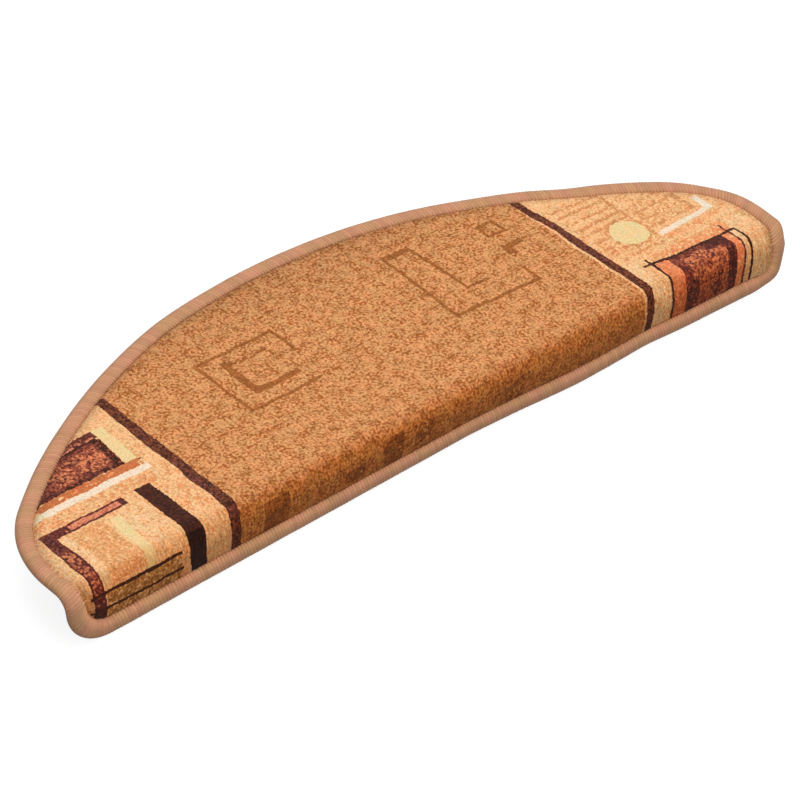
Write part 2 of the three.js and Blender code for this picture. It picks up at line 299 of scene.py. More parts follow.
def stray(strays, place):
    """Sum of soft bumps along one direction, in metres."""
    total = np.zeros(len(place))
    for size, middle, width in strays:
        total += size * MM * np.exp(-(((place - middle * MM) / (width * MM)) ** 2))
    return total


def hang_shape(u, mat):
    """How far the flap's lower edge swings inwards along its length, in metres."""
    half, middle = mat.length / 2, HANG_MIDDLE * MM
    room = np.where(u < middle, half + middle, half - middle) - HANG_END * MM
    sag = mat.hang * np.clip(1 - np.abs(u - middle) / room, 0, 1)
    return sag + stray(HANG_STRAYS, u)


def fill_corner(u, v):
    """Draws the flap's right corner out, fading slowly inwards and fast along the edge."""
    du, dv = u - CORNER_PLACE[0] * MM, v - CORNER_PLACE[1] * MM
    along, inwards = (du + dv) * math.sqrt(0.5), (dv - du) * math.sqrt(0.5)
    width, depth = CORNER_WIDTH * MM, 4 * CORNER_WIDTH * MM
    near = np.exp(-((along / width) ** 2) - (np.maximum(inwards, 0) / depth) ** 2)
    push = CORNER_STRAY * MM * near * math.sqrt(0.5)
    return u + push, v - push


def fold_over(flat, mat):
    """Turns flat points (u, v, w) into the folded mat's (x, y, z)."""
    outline = Outline(mat)
    u, v = fill_corner(flat[:, 0], flat[:, 1])
    w = flat[:, 2]
    inner = mat.fold_radius - mat.thickness
    angle = np.clip((v - outline.flap) / mat.fold_radius, 0, math.pi / 2)
    straight = np.maximum(v - outline.flap - outline.fold_arc, 0)
    below = np.maximum(outline.flap - v, 0)
    radius = inner + w
    y = inner - radius * np.cos(angle) + straight
    z = radius * np.sin(angle) - inner - below
    depth = mat.fold_radius * (1 - np.sin(angle)) + below
    y += hang_shape(u, mat) * depth / mat.nose_drop
    near_edge = 1 - smooth_step(*STRAY_EASE, outline.inset(u, v))
    y += stray(BACK_STRAYS, u) * smooth_step(*BACK_EASE, v) * near_edge
    skew = mat.skew * (u / mat.length + 0.5) * (1 - smooth_step(*SKEW_EASE, v))
    blunt_start = outline.half - BLUNT_REACH
    x = u - skew - mat.blunt * smooth_step(blunt_start, outline.half, u)
    x += stray(END_STRAYS, v) * smooth_step(outline.half - END_REACH, blunt_start, u) * near_edge
    return np.stack([x, y, z], 1)


def stitch_reach(v):
    """How far in the stitching reaches, as a share of its width."""
    return FLAP_REACH - (FLAP_REACH - TREAD_REACH) * smooth_step(*REACH_EASE, v)


def smooth_step(low, high, value):
    share = np.clip((value - low) / (high - low), 0, 1)
    return share * share * (3 - 2 * share)


def lattice_noise(u, v, pitch, seed):
    """Smooth noise from -1 to 1 over flat points, with features a pitch apart."""
    side, start = 257, 4096.5
    table = np.random.default_rng(seed).uniform(-1, 1, (side, side))
    a, b = u / pitch + start, v / pitch + start
    column, row = np.floor(a).astype(int), np.floor(b).astype(int)
    s, t = smooth_step(0, 1, a - column), smooth_step(0, 1, b - row)

    def pick(i, j):
        return table[(row + j) % side, (column + i) % side]

    low = pick(0, 0) * (1 - s) + pick(1, 0) * s
    high = pick(0, 1) * (1 - s) + pick(1, 1) * s
    return low * (1 - t) + high * t


def positions(mesh):
    flat = np.zeros(len(mesh.vertices) * 3)
    mesh.vertices.foreach_get("co", flat)
    return flat.reshape(-1, 3)


def move_vertices(mesh, points):
    mesh.vertices.foreach_set("co", points.ravel())
    mesh.update()


def start_piece(name, add, **settings):
    """Adds a primitive with nothing else selected, and names it."""
    if bpy.context.object and bpy.context.object.mode != "OBJECT":
        bpy.ops.object.mode_set(mode="OBJECT")
    bpy.ops.object.select_all(action="DESELECT")
    add(**settings)
    piece = bpy.context.object
    piece.name = name
    piece.data.name = name
    return piece


def select_vertices(mesh, chosen):
    """Selects vertices by their numbers, from object mode."""
    mesh.polygons.foreach_set("select", np.zeros(len(mesh.polygons), bool))
    mesh.edges.foreach_set("select", np.zeros(len(mesh.edges), bool))
    mesh.vertices.foreach_set("select", chosen)


def cut_sheet(name, spacing, rim):
    """A flat grid cut to the outline, its border drawn onto the line that far inside it."""
    mat = sizes()
    outline = Outline(mat)
    columns, rows = round(mat.length / spacing), round(outline.flat_depth / spacing)
    piece = start_piece(
        name, bpy.ops.mesh.primitive_grid_add, x_subdivisions=columns, y_subdivisions=rows, size=1.0
    )
    mesh = piece.data
    flat = positions(mesh)
    flat[:, 0] *= mat.length
    flat[:, 1] = (flat[:, 1] + 0.5) * outline.flat_depth
    move_vertices(mesh, flat)
    too_near = 0.35 * spacing
    select_vertices(mesh, outline.inset(flat[:, 0], flat[:, 1]) < rim + too_near)
    bpy.ops.object.mode_set(mode="EDIT")
    bpy.ops.mesh.select_mode(type="VERT")
    bpy.ops.mesh.delete(type="VERT")
    bpy.ops.mesh.select_all(action="SELECT")
    bpy.ops.mesh.delete_loose()
    trim_slivers(mesh)
    bpy.ops.mesh.select_all(action="SELECT")
    bpy.ops.mesh.region_to_loop()
    bpy.ops.object.mode_set(mode="OBJECT")
    border = np.zeros(len(mesh.vertices), bool)
    mesh.vertices.foreach_get("select", border)
    flat = positions(mesh)
    for _ in range(3):
        u, v = flat[border, 0], flat[border, 1]
        out_u, out_v = outline.outward(u, v)
        step = outline.inset(u, v) - rim
        flat[border, 0] += out_u * step
        flat[border, 1] += out_v * step
    move_vertices(mesh, flat)
    return piece


def trim_slivers(mesh):
    """Deletes faces that lie on the border with every corner, which would close to a line there."""
    shape = bmesh.from_edit_mesh(mesh)
    while True:
        thin = [f for f in shape.faces if all(v.is_boundary for v in f.verts)]
        if not thin:
            break
        bmesh.ops.delete(shape, geom=thin, context="FACES")
    bmesh.update_edit_mesh(mesh)


def add_map(piece, name, place):
    """Keeps two numbers for each vertex as the piece's UV map."""
    mesh = piece.data
    layer = mesh.uv_layers.new(name=name)
    corner = np.zeros(len(mesh.loops), int)
    mesh.loops.foreach_get("vertex_index", corner)
    layer.data.foreach_set("uv", place[corner, :2].ravel())


def pile_inset(u, v):
    """How far flat points lie inside the mat's edge, stretched so that the stitching ends at its width."""
    return Outline(sizes()).inset(u, v) / stitch_reach(v)


def add_inset(piece, flat):
    """Keeps how far each vertex lies inside the mat's edge, in metres."""
    layer = piece.data.attributes.new("inset", "FLOAT", "POINT")
    layer.data.foreach_set("value", pile_inset(flat[:, 0], flat[:, 1]))


def seal(smooth_angle=None):
    """Turns all faces of the active piece outwards and shades it smooth."""
    bpy.ops.object.mode_set(mode="EDIT")
    bpy.ops.mesh.select_all(action="SELECT")
    bpy.ops.mesh.remove_doubles(threshold=1e-6)
    bpy.ops.mesh.normals_make_consistent(inside=False)
    bpy.ops.object.mode_set(mode="OBJECT")
    if smooth_angle is None:
        bpy.ops.object.shade_smooth()
    else:
        bpy.ops.object.shade_smooth_by_angle(angle=math.radians(smooth_angle))


def pile_height(u, v):
    """Height of the pile's surface above the stair, low under the stitching and tufted on top."""
    mat, pile = sizes(), bpy.context.scene.mat_pile
    full = smooth_step(pile.shoulder_start, pile.shoulder_end, pile_inset(u, v))
    tufts = np.random.default_rng(11).uniform(-1, 1, len(u)) * 0.5
    tufts += lattice_noise(u, v, pile.tuft, 12) * 0.5
    relief = pile.relief * tufts + pile.swell * lattice_noise(u, v, 6 * pile.tuft, 13)
    top = mat.thickness - pile.relief - pile.swell
    return pile.rim_height + full * (top + relief - pile.rim_height)


class MESH_OT_mat_carpet(bpy.types.Operator):
    """Adds the printed carpet, with its pile, folded over the nosing"""

    bl_idname = "mesh.mat_carpet"
    bl_label = "Carpet"

    def execute(self, context):
        mat, pile = context.scene.mat_sizes, context.scene.mat_pile
        piece = cut_sheet("printed_carpet", pile.grid, pile.rim_inset)
        mesh = piece.data
        flat = positions(mesh)
        flat[:, 2] = pile_height(flat[:, 0], flat[:, 1])
        move_vertices(mesh, flat)
        bpy.ops.object.mode_set(mode="EDIT")
        bpy.ops.mesh.select_all(action="SELECT")
        bpy.ops.mesh.region_to_loop()
        wall = pile.rim_height - pile.base
        bpy.ops.mesh.extrude_region_move(TRANSFORM_OT_translate={"value": (0, 0, -wall)})
        bpy.ops.mesh.edge_face_add()
        cut_underside(mesh, pile.base)
        bpy.ops.object.mode_set(mode="OBJECT")
        flat = positions(mesh)
        add_map(piece, "flat", flat)
        add_inset(piece, flat)
        move_vertices(mesh, fold_over(flat, mat))
        seal()
        mesh.materials.append(printed_pile())
        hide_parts("carpet")
        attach(piece, "root")
        return {"FINISHED"}


def cut_underside(mesh, base):
    """Cuts the flat underside into strips, so that it can follow the fold and the flap's waves."""
    mat = sizes()
    outline = Outline(mat)
    fold_steps, column = 6, 20 * MM
    shape = bmesh.from_edit_mesh(mesh)
    rows = [outline.flap + outline.fold_arc * i / fold_steps for i in range(fold_steps + 1)]
    columns = np.arange(-outline.half + column / 2, outline.half, column)
    cuts = [((0, v, 0), (0, 1, 0)) for v in rows] + [((u, 0, 0), (1, 0, 0)) for u in columns]
    for point, normal in cuts:
        faces = [f for f in shape.faces if all(abs(v.co.z - base) < 1e-6 for v in f.verts)]
        edges, corners = {e for f in faces for e in f.edges}, {v for f in faces for v in f.verts}
        geometry = [*faces, *edges, *corners]
        bmesh.ops.bisect_plane(shape, geom=geometry, plane_co=point, plane_no=normal, dist=1e-7)
    bmesh.update_edit_mesh(mesh)


# The stitches' upper side, from their inner ends: share of the width, and how far sunk in millimetres
DOME = [(1.0, 3.0), (0.975, 2.35), (0.93, 1.7), (0.85, 1.05), (0.76, 0.58), (0.66, 0.22), (0.54, 0.03)]
# The round outside of the stitching: how far in it reaches, and in how many steps it turns
TURN_REACH, TURN_STEPS = 5 * MM, 8
# How many rows of faces one stitch has, and how much it differs from the next in reach and in height
STITCH_ROWS, REACH_SPREAD, LIFT_SPREAD = 6, 0.3 * MM, 0.05 * MM
# The edge's slow waves: how many go round the mat, their size, and where they start in radians
WAVES = [(7, 1.0, 1), (19, 1.0, 0), (43, 0.7, 2)]


def stitch_section(binding):
    """The stitching's section as (inset, height), a C round the carpet's rim, from the top's inner end."""
    bead = binding.height / 2
    top = binding.height - binding.yarn
    turn = [math.pi / 2 - math.pi * i / TURN_STEPS for i in range(TURN_STEPS + 1)]
    outside = [(TURN_REACH - TURN_REACH * math.cos(a), bead + bead * math.sin(a)) for a in turn]
    return [
        *[(share * binding.width, binding.height - sunk * MM) for share, sunk in DOME],
        *outside,
        (0.7 * binding.width, 0.0),
        (binding.width, 0.15 * MM),
        (binding.width, binding.yarn),
        (binding.yarn, binding.yarn),
        (binding.yarn, top),
        (binding.width, binding.lip),
    ]


class MESH_OT_mat_binding(bpy.types.Operator):
    """Adds the overlock stitching round the whole edge"""

    bl_idname = "mesh.mat_binding"
    bl_label = "Edge binding"

    def execute(self, context):
        mat, binding = context.scene.mat_sizes, context.scene.mat_binding
        outline = Outline(mat)
        perimeter = outline.perimeter()
        count = round(perimeter / binding.pitch)
        pitch = perimeter / count
        piece = self.make_stitch(binding, pitch)
        array = piece.modifiers.new("stitches", "ARRAY")
        array.count = count
        array.use_relative_offset = False
        array.use_constant_offset = True
        array.constant_offset_displace = (pitch, 0, 0)
        array.use_merge_vertices = True
        array.merge_threshold = 1e-6
        bpy.ops.object.modifier_apply(modifier=array.name)
        mesh = piece.data
        strip = positions(mesh)
        add_map(piece, "stitch", strip / (pitch, MM, 1))
        strip = self.vary(strip, pitch, count, binding)
        point, normal = outline.along(strip[:, 0])
        inwards = strip[:, 1:2] * stitch_reach(point[:, 1:2])
        flat = np.concatenate([point - normal * inwards, strip[:, 2:3]], 1)
        move_vertices(mesh, fold_over(flat, mat))
        seal()
        mesh.materials.append(overlock_yarn())
        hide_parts("edge_binding")
        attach(piece, "root")
        return {"FINISHED"}

    def make_stitch(self, binding, pitch):
        """One stitch as a short length of the section, with its rib: x along the edge, y inwards, z up."""
        section = np.array(stitch_section(binding))
        piece = start_piece(
            "edge_stitching", bpy.ops.mesh.primitive_circle_add, vertices=len(section), fill_type="NOTHING"
        )
        ring = np.concatenate([np.zeros((len(section), 1)), section], 1)
        move_vertices(piece.data, ring)
        bpy.ops.object.mode_set(mode="EDIT")
        bpy.ops.mesh.select_all(action="SELECT")
        for _ in range(STITCH_ROWS):
            bpy.ops.mesh.extrude_region_move(TRANSFORM_OT_translate={"value": (pitch / STITCH_ROWS, 0, 0)})
        bpy.ops.object.mode_set(mode="OBJECT")
        strip = positions(piece.data)
        rib = np.abs(np.sin(math.pi * strip[:, 0] / pitch)) ** 0.7
        bead = binding.height / 2
        low = binding.yarn
        slot_ends = [binding.height - low, binding.lip]
        slot_top = np.interp(strip[:, 1], [low, binding.width], slot_ends)
        in_slot = (strip[:, 1] > low - 1e-6) & (strip[:, 2] > low - 1e-6) & (strip[:, 2] < slot_top + 1e-6)
        inner_lip = smooth_step(0.75, 1.0, strip[:, 1] / binding.width) * (strip[:, 2] > bead)
        inner_lip *= ~in_slot
        lift = np.where(in_slot, 0, binding.rib) * (rib - 1)
        away_y = np.where(strip[:, 1] < bead, (bead - strip[:, 1]) / bead, 0)
        away_z = np.sign(strip[:, 2] - bead) * np.minimum(np.abs(strip[:, 2] - bead) / bead, 1)
        strip[:, 1] -= lift * away_y
        strip[:, 2] += lift * away_z
        strip[:, 1] += inner_lip * binding.tooth * (rib - 0.5)
        move_vertices(piece.data, strip)
        return piece

    def vary(self, strip, pitch, count, binding):
        """Makes each stitch reach a little further or stand a little higher than the next, slants them all
        alike, and lets the edge wander in slow waves.
        """
        random = np.random.default_rng(21)
        place = strip[:, 0] / pitch - 1e-4
        stitch = np.floor(place).astype(int) % count
        inner = smooth_step(0.5, 1.0, strip[:, 1] / binding.width) * (strip[:, 2] > binding.height / 2)
        reach = random.normal(0, REACH_SPREAD, count)[stitch]
        lift = random.normal(0, LIFT_SPREAD, count)[stitch]
        ridge = np.abs(np.sin(math.pi * place))
        turn = 2 * math.pi * strip[:, 0] / (pitch * count)
        wander = sum(size * np.sin(times * turn + start) for times, size, start in WAVES)
        wander /= sum(size for _, size, _ in WAVES)
        varied = strip.copy()
        varied[:, 0] += binding.slant * strip[:, 1] * (strip[:, 2] > binding.height / 2)
        varied[:, 1] += reach * inner * ridge + binding.waviness * (0.5 + 0.5 * wander)
        varied[:, 2] += lift * ridge * np.where(strip[:, 2] > 0.7 * binding.height, 1, 0)
        return varied


class MESH_OT_mat_backing(bpy.types.Operator):
    """Adds the latex grip backing under the carpet"""

    bl_idname = "mesh.mat_backing"
    bl_label = "Grip backing"

    def execute(self, context):
        mat, backing = context.scene.mat_sizes, context.scene.mat_backing
        piece = cut_sheet("grip_sheet", backing.grid, backing.inset)
        mesh = piece.data
        bpy.ops.object.mode_set(mode="EDIT")
        bpy.ops.mesh.select_all(action="SELECT")
        bpy.ops.mesh.extrude_region_move(TRANSFORM_OT_translate={"value": (0, 0, backing.thickness)})
        bpy.ops.object.mode_set(mode="OBJECT")
        flat = positions(mesh)
        add_map(piece, "flat", flat)
        move_vertices(mesh, fold_over(flat, mat))
        seal(smooth_angle=40)
        mesh.materials.append(latex_backing())
        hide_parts("grip_backing")
        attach(piece, "root")
        return {"FINISHED"}


# An ink's colour, the colour of its flecks, and how much of it the flecks take
Ink = namedtuple("Ink", "base fleck share")
INKS = {
    "shade": ("#D69454", "#985824", 0.45),
    "block": ("#AC6C36", "#7C461C", 0.5),
    "tone": ("#AC6A36", "#905428", 0.5),
    "faint": ("#C58350", "#96582A", 0.5),
    "pale": ("#F1C696", "#E2B080", 0.35),
    "straw": ("#FCDCB0", "#ECC08E", 0.35),
    "band": ("#DC9A66", "#C88250", 0.4),
    "sand": ("#E9AA74", "#D49058", 0.4),
    "olive": ("#D49E5E", "#96642E", 0.5),
    "glow": ("#EDA470", "#DE8C56", 0.4),
    "wine": ("#8A4C40", "#4A2626", 0.5),
    "black": ("#3A1E18", "#5A2E20", 0.35),
    "night": ("#26130D", "#3A1D12", 0.3),
    "coal": ("#44201E", "#70382E", 0.4),
    "rust": ("#74382E", "#4C2424", 0.45),
    "rose": ("#DE8C6A", "#B4604A", 0.36),
    "fire": ("#D07C56", "#844030", 0.42),
    "ember": ("#DE8459", "#783C30", 0.42),
    "umber": ("#84412C", "#C47048", 0.42),
    "flame": ("#EE9464", "#E07850", 0.36),
    "white": ("#F0DCC6", "#E9CDB0", 0.2),
    "line": ("#40221A", "#5A3424", 0.3),
}


def inks(colours):
    """All the inks by name. The first one is under all the others."""
    own = {
        "ground": Ink(colours.ground, colours.ground_fleck, 0.4),
        "panel": Ink(colours.panel, colours.panel_fleck, 0.33),
        "stripe": Ink(colours.stripe, linear("#84492F"), 0.42),
        "maroon": Ink(colours.maroon, linear("#A8573E"), 0.38),
        "orange": Ink(colours.orange, linear("#C4673C"), 0.36),
        "cream": Ink(colours.cream, linear("#EEC888"), 0.15),
    }
    return own | {name: Ink(linear(base), linear(fleck), part) for name, (base, fleck, part) in INKS.items()}


# A field of print, laid flat in millimetres, with the share of it that takes the ink, how much it
# rises from its left end to its right one, and how far it leans from its low edge to its high one
Field = namedtuple("Field", "ink left right low high cover rise lean", defaults=(1.0, 0.0, 0.0))
BEYOND = 400  # past the mat's edge on any side

# Each row holds one field, and covers the rows before it

CENTRE_FIELDS = [
    # The flap's darker ground below the fold: partly print, partly painted shade
    ("shade", -BEYOND, BEYOND, -1, 44),
    ("block", -163, -142, 16, 40),
    ("block", -93, -76, 20, 31, 0.9),
    ("block", -60, -42, 16, 40, 0.9),
    ("block", -32, -14, 16, 40, 0.55),
    ("block", 50, 68, 16, 38, 0.45),
    ("tone", -115.4, -47.2, 113.2, 175),
    ("ground", -112.6, -49.8, 115.9, 172.2),
    ("ground", -56, -44, 110, 146, 0.8),
    ("faint", -99, -62, 126, 166, 0.4),
    ("tone", -100.5, -94.8, 126, 166),
    ("tone", -100.5, -61, 126, 131),
    ("ground", -93, -65, 131.5, 159.5),
    ("tone", -96, -62, 160, 163.5, 0.55),
    ("tone", -65, -62, 150, 163, 0.5),
    ("tone", 63.0, 65.8, 105, 189, 1.0, 0.0, 3.0),
    ("tone", 65, 89, 184, 189.5),
    ("tone", 88.3, 91, 126.5, 188, 1.0, 0.0, -2.5),
    ("tone", 90, 110, 126.3, 129, 0.9, -1.5),
    ("tone", 62, 138.5, 105.2, 108.2, 1.0, -4.0),
    ("tone", 135.7, 138.5, 105, 122.5),
    ("tone", 141.5, 158.8, 160.5, 176.5),
    ("ground", 144.4, 155.9, 163.2, 173.8),
    ("tone", 141, 158.8, 143.5, 149),
    ("tone", 141, 147.5, 134, 145, 0.85),
]

STRIPE_FIELDS = [
    ("stripe", -190.9, -182.7, -1, 245, 1.0, 0.0, 1.0),
    ("wine", -190.4, -184.6, 40, 49, 0.6),
    ("wine", -190.4, -184.6, 60, 112, 0.4),
    ("wine", -190.4, -184.6, 132, 142, 0.35),
    ("stripe", 184.3, 191.6, -1, 132),
    ("stripe", 182.8, 189.5, 130, 200, 1.0, 0.0, -3.6),
    ("wine", 185, 191, 88, 146, 0.3),
]

LEFT_FIELDS = [
    ("panel", -BEYOND, -183.5, -1, BEYOND),
    ("glow", -300, -206, 98, 110, 0.4),
    ("glow", -211, -192, 60, 100, 0.2),
    ("pale", -212, -192, -1, 48, 0.55),
    ("rust", -BEYOND, -211, 155.5, 163),
    ("rose", -BEYOND, -214, 155.8, 157.6, 0.8),
    ("fire", -BEYOND, -216, 157.5, 161, 0.35),
    ("black", -BEYOND, -213, 153.8, 155.5),
    ("maroon", -BEYOND, -212.5, 124, 154, 1.0, 0.0, 2.5),
    ("ember", -262, -219, 129, 150, 0.6),
    ("black", -BEYOND, -213, 123.8, 127.5, 0.6),
    ("black", -218, -212.8, 124, 154, 0.75, 0.0, 2.5),
    ("cream", -211.6, -202.8, 123, 163.4, 1.0, 0.0, 2.0),
    ("line", -213.5, -202, 121.0, 122.6),
    ("orange", -287, -204, 117, 123.8, 0.95),
    ("flame", -262, -212, 119, 121.5, 0.15),
    ("white", -300, -202.5, 111.4, 116.8),
    ("cream", -304, -287, 111, 116.8, 0.5),
    ("rust", -303, -237, 90.6, 98.8),
    ("rose", -281, -241.5, 92.2, 97.2),
    ("fire", -288, -282, 91, 97, 0.4),
    ("rust", -303, -293.3, 15, 97.5),
    ("fire", -301.4, -295, 28, 78, 0.7),
    ("wine", -303, -293, 78, 98, 0.45),
    ("black", -303, -293.5, 12, 22, 0.75),
    ("black", -226.2, -213.0, 42, 99.3, 1.0, 0.0, -0.8),
    ("night", -225.2, -212.0, 12, 46, 1.0, 0.0, -0.8),
    ("sand", -286, -261, 40, 88, 0.75),
    ("pale", -293, -286.5, 40, 89, 0.7),
    ("pale", -248.5, -229, 40, 86, 0.5),
    ("cream", -258.2, -249.8, 39, 85.4, 1.0, 0.0, 1.2),
    ("cream", -259.5, -252.5, 26, 39, 0.5),
    ("olive", -292, -232, -1, 36, 0.8),
    ("line", -305, -230.5, 35.2, 37.4, 1.0, 1.0),
    ("line", -305, -230.5, 22.8, 25.0, 1.0, -0.6),
    ("pale", -312, -304, 40, 104, 0.4),
]

RIGHT_FIELDS = [
    ("panel", 182, BEYOND, -1, BEYOND),
    ("pale", 191, 204, 40, 82, 0.5),
    ("pale", 286, 306, 46, 84, 0.35),
    ("straw", 288, BEYOND, -1, 46, 0.85),
    ("straw", 190, 208, -1, 46, 0.7),
    ("glow", 192, 240, 84, 124, 0.25),
    ("band", 199, 238, 82.5, 85.5, 0.7),
    ("band", 197, 236, 94.5, 97.5, 0.7),
    ("band", 197, 236, 99.5, 102.5, 0.5),
    ("band", 197, 238, 108.5, 111.5, 0.6),
    ("band", 195, 238, 119.5, 122.5, 0.7),
    ("band", 195, 238, 127.0, 130.5, 0.85),
    ("band", 195, 238, 136.0, 139.0, 0.7),
    ("band", 195, 238, 146.0, 149.5, 0.8),
    ("band", 195, 238, 154.5, 157.5, 0.7),
    ("band", 236.8, 240.0, 93, 152, 0.9),
    ("sand", 243, 283, 98, 135, 0.35),
    ("band", 243, 283, 99.0, 102.0, 0.7),
    ("band", 243, 283, 108.5, 111.5, 0.7),
    ("band", 243, 283, 118.0, 121.0, 0.7),
    ("band", 243, 283, 126.5, 129.5, 0.6),
    ("band", 280.5, 284.5, 98, 120, 0.85),
    ("glow", 240, 294, 83, 87.5, 0.7),
    ("white", 240.6, 293.8, 90.0, 94.2, 1.0, 1.5),
    ("white", 288.6, 293.8, 92, 108),
    ("glow", 213, 287, 64, 76, 0.7),
    ("flame", 222, 285, 62, 70, 0.5, -4.0),
    ("flame", 211, 224, -1, 67),
    ("orange", 211, 215.5, -1, 67, 0.35),
    ("orange", 211, 224, -1, 42, 0.6),
    ("maroon", 223.3, 274, -1, 66.5, 1.0, -3.0),
    ("ember", 231, 266, 40, 61, 0.65),
    ("umber", 226, 270, -1, 40, 0.75),
    ("coal", 223.3, 236, -1, 40, 0.6),
    ("coal", 250, 260, -1, 38, 0.35),
    ("coal", 265.5, 274, -1, 60, 0.75),
    ("coal", 253, 273.5, 56, 66, 0.9, -1.0),
    ("flame", 274, 280.5, -1, 69, 0.8),
    ("rust", 280.2, 281.8, -1, 72.5),
    ("pale", 281.8, 286.4, -1, 65),
    ("line", 203.5, 224, 67.7, 69.9, 1.0, -3.2),
    ("line", 222, 288.5, 64.0, 66.2, 1.0, -3.4),
    ("line", 208.9, 211.1, -1, 76),
    ("line", 286.3, 288.5, -1, 64),
]

# Discs of print: ink, middle, radius and cover
DISCS = [("band", 224.0, 105.6, 17.2, 0.55), ("cream", 224.7, 105.9, 14.0, 1.0)]


# Settings that many nodes share: an eased range, noise on a flat place, and a mix of two colours
EASED = {"interpolation_type": "SMOOTHSTEP"}
FLAT_NOISE = {"noise_dimensions": "2D"}
COLOURS = {"data_type": "RGBA", "output": 2}


def put(tree, kind, *inputs, output=0, **settings):
    """Adds a node with its settings, sets or links its inputs, and gives one of its outputs, or itself.

    The inputs come in order, or in a dict by name or number. A colour may leave out its alpha.
    """
    node = tree.nodes.new("ShaderNode" + kind)
    for name, value in settings.items():
        setattr(node, name, value)
    by_key = inputs[0] if inputs and isinstance(inputs[0], dict) else dict(enumerate(inputs))
    for key, value in by_key.items():
        socket = node.inputs[key]
        if isinstance(value, bpy.types.NodeSocket):
            tree.links.new(value, socket)
        else:
            short = socket.type == "RGBA" and len(value) == 3
            socket.default_value = (*value, 1.0) if short else value
    return node if output is None else node.outputs[output]


def new_material(name):
    material = bpy.data.materials.new(name)
    material.use_nodes = True
    material.node_tree.nodes.clear()
    return material, material.node_tree


def field_mask(tree, field, u, v, chance):
    """1 where a field's ink is printed, from the flat place in millimetres and a tuft's chance."""
    middle_u, middle_v = (field.left + field.right) / 2, (field.low + field.high) / 2
    across, up = u, v
    if field.lean:
        slope = field.lean / (field.high - field.low)
        start = put(tree, "Math", u, slope * middle_v, operation="ADD")
        across = put(tree, "Math", v, -slope, start, operation="MULTIPLY_ADD")
    if field.rise:
        slope = field.rise / (field.right - field.left)
        start = put(tree, "Math", v, slope * middle_u, operation="ADD")
        up = put(tree, "Math", u, -slope, start, operation="MULTIPLY_ADD")
    in_u = put(tree, "Math", across, middle_u, (field.right - field.left) / 2, operation="COMPARE")
    in_v = put(tree, "Math", up, middle_v, (field.high - field.low) / 2, operation="COMPARE")
    mask = put(tree, "Math", in_u, in_v, operation="MULTIPLY")
    if field.cover < 1:
        taken = put(tree, "Math", chance, field.cover, operation="LESS_THAN")
        mask = put(tree, "Math", mask, taken, operation="MULTIPLY")
    return mask


def ink_ramp(tree, index, values):
    """Picks one colour for each whole number of the index."""
    ramp = put(tree, "ValToRGB", index, output=None)
    ramp.color_ramp.interpolation = "CONSTANT"
    stops = ramp.color_ramp.elements
    while len(stops) < len(values):
        stops.new(1.0)
    for i, value in enumerate(values):
        stops[i].position = i / len(values)
        stops[i].color = (*value, 1.0)
    return ramp.outputs["Color"]


# How the print is read, in millimetres: its edges step with the tufts by this share, waver this much
# over this length, and below the fold it sits this far to the left of where it sits on the tread
TUFT_STEP, WAVER, WAVER_LENGTH, FLAP_SHIFT, SHIFT_EASE = 0.3, 3.0, 26, 2.3, (52, 34)


def print_lookup(tree, in_mm, tuft):
    """Where the print is read for each tuft: in steps of tufts, a little wavy, and shifted on the flap."""
    steps = {0: TUFT_STEP, 4: in_mm, 5: tuft.outputs["Position"]}
    stepped = put(tree, "Mix", steps, data_type="VECTOR", output=1)
    waver = {"Vector": in_mm, "Scale": 1 / WAVER_LENGTH, "Detail": 1.0}
    wave = put(tree, "TexNoise", waver, output="Color", **FLAT_NOISE)
    wave = put(tree, "VectorMath", wave, (0.5, 0.5, 0.5), operation="SUBTRACT")
    lookup = put(tree, "VectorMath", wave, (WAVER, WAVER, 0.0), stepped, operation="MULTIPLY_ADD")
    place = put(tree, "SeparateXYZ", lookup, output=None)
    v = place.outputs["Y"]
    shift = put(tree, "MapRange", v, *SHIFT_EASE, 0.0, FLAP_SHIFT, **EASED)
    return put(tree, "Math", place.outputs["X"], shift, operation="ADD"), v


def print_index(tree, u, v, chance, names):
    """Which ink each tuft takes, as its place in the list of inks from 0 to 1."""
    index = 0.0
    for field in [Field(*row) for row in (*CENTRE_FIELDS, *LEFT_FIELDS, *RIGHT_FIELDS, *STRIPE_FIELDS)]:
        ink = (names.index(field.ink) + 0.5) / len(names)
        index = put(tree, "Mix", {0: field_mask(tree, field, u, v, chance), 2: index, 3: ink})
    place = put(tree, "CombineXYZ", u, v)
    for name, middle_u, middle_v, radius, cover in DISCS:
        ink = (names.index(name) + 0.5) / len(names)
        middle = (middle_u, middle_v, 0.0)
        reach = put(tree, "VectorMath", place, middle, operation="DISTANCE", output="Value")
        inside = put(tree, "Math", reach, radius, operation="LESS_THAN")
        taken = put(tree, "Math", chance, cover, operation="LESS_THAN")
        mask = put(tree, "Math", inside, taken, operation="MULTIPLY")
        index = put(tree, "Mix", {0: mask, 2: index, 3: ink})
    return index


# Sizes of the pile's patterns in millimetres: yarn ends, the painted shade and highlight in lines between
# rows
#  of tufts on the flap, dyed tufts, tufts that lean together, slow drifts of the dye, and fibres for the
#  bump
SPECK, ROW_SHADING, GRAIN, CLUMP, DRIFT, FIBRE = 0.9, 1.4, 2.0, 8, 11, 0.5
# How steeply the dyed tufts stand out from the ink under them
GRAIN_CONTRAST = 3.6
# Where the pile turns down over the nosing and takes its painted shade, partly from the pile lying
# downwards, up the flat mat
FLAP_SHADE_EASE = (59, 41)
# Painted shade on the pile: beside the stitching, from its inner ends inwards, and towards the back
EDGE_SHADE_INSET, BACK_SHADE_RANGE = (13 * MM, 26 * MM), (165, 225)


